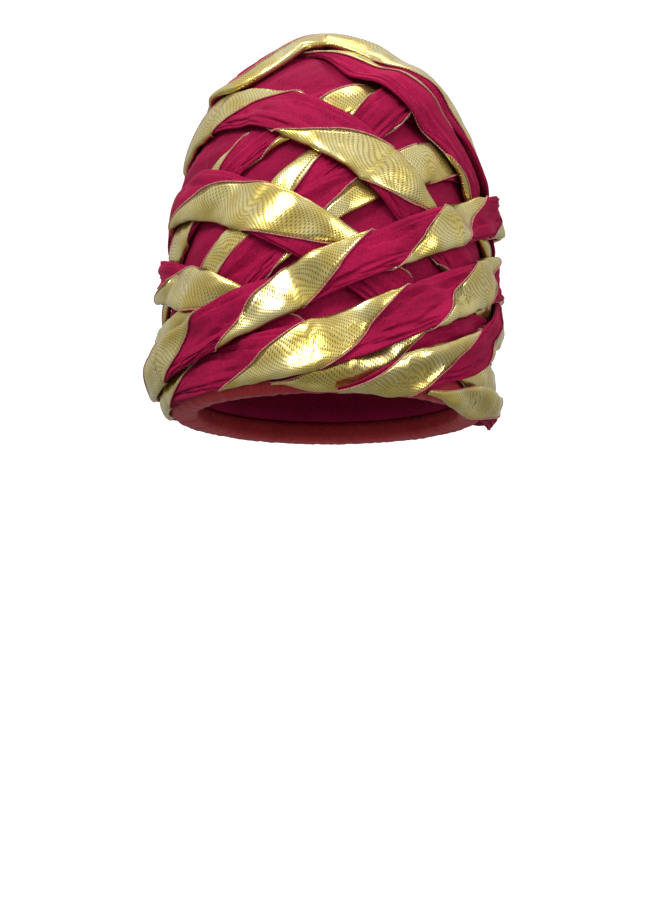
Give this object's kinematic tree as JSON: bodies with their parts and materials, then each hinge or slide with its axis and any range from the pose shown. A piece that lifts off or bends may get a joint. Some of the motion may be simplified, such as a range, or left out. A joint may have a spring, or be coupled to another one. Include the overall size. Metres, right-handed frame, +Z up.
{
  "type": "tied turban pagri",
  "caption": "Tall padded turban wound with a crossing lattice of twisted magenta cloth strips edged with gold ribbon, over an orange-red padded rim band.",
  "frame": {"origin": "middle of the head opening, in the plane of the rim", "axes": "-Y is the front, +X is the viewer's right looking at the front, +Z is up; the crown leans back by 12 degrees as it is worn, so that the head leaves along -Z"},
  "size_m": [0.2207, 0.2675, 0.2488],
  "materials": {
    "crown_cloth": "matte plain weave",
    "wrap_cloth": "matte plain weave, creased lengthwise",
    "gold_ribbon": "metallic tissue weave",
    "rim_cloth": "soft satin"
  },
  "bodies": {
    "root": {"crown_cap": "crown_cloth", "rim_band": "rim_cloth", "under_wrap_left": "wrap_cloth", "under_wrap_centre": "wrap_cloth", "under_wrap_right": "wrap_cloth", "falling_wrap_rim": "wrap_cloth", "falling_wrap_low": "wrap_cloth", "falling_wrap_mid": "wrap_cloth", "falling_wrap_high": "wrap_cloth", "crown_wrap": "wrap_cloth", "rising_wrap_rim": "wrap_cloth", "tail_wrap": "wrap_cloth", "rising_wrap_right": "wrap_cloth", "rising_wrap_low": "wrap_cloth", "rising_wrap_mid": "wrap_cloth", "under_ribbon_left": "gold_ribbon", "under_ribbon_centre": "gold_ribbon", "under_ribbon_right": "gold_ribbon", "falling_ribbon_rim": "gold_ribbon", "falling_ribbon_low": "gold_ribbon", "falling_ribbon_mid": "gold_ribbon", "falling_ribbon_high": "gold_ribbon", "crown_ribbon": "gold_ribbon", "rising_ribbon_rim": "gold_ribbon", "tail_ribbon": "gold_ribbon", "rising_ribbon_right": "gold_ribbon", "rising_ribbon_low": "gold_ribbon", "rising_ribbon_mid": "gold_ribbon"}
  },
  "joints": []
}
